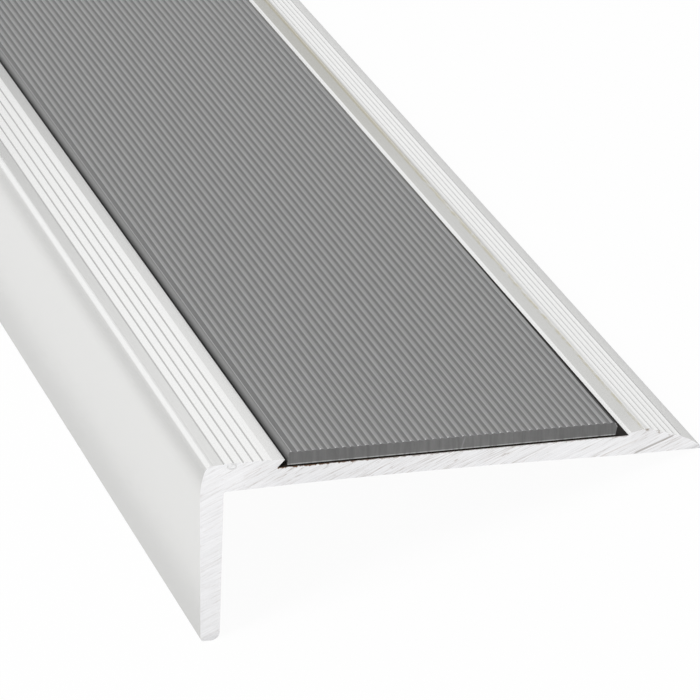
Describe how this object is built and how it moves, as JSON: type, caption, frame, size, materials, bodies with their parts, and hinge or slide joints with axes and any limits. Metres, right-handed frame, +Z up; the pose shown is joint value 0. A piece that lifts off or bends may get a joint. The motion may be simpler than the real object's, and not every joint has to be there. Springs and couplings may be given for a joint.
{
  "type": "stair nosing",
  "caption": "Straight aluminium angle that covers a stair's front edge, with saw-toothed grip lines and a fine-ribbed grey insert bonded in its channel.",
  "frame": {"origin": "middle of the length and of the depth, on the floor that the toe and the back edge stand on", "axes": "+X along the length, +Y from the nose to the back edge, +Z up; the section is tilted back 17.2 degrees, as it lies on a level floor"},
  "size_m": [1, 0.0794, 0.026],
  "materials": {
    "aluminium": "satin",
    "insert": "matte",
    "bond": "matte"
  },
  "bodies": {
    "root": {"profile": "aluminium", "insert": "insert", "bond_strip": "bond"}
  },
  "joints": []
}
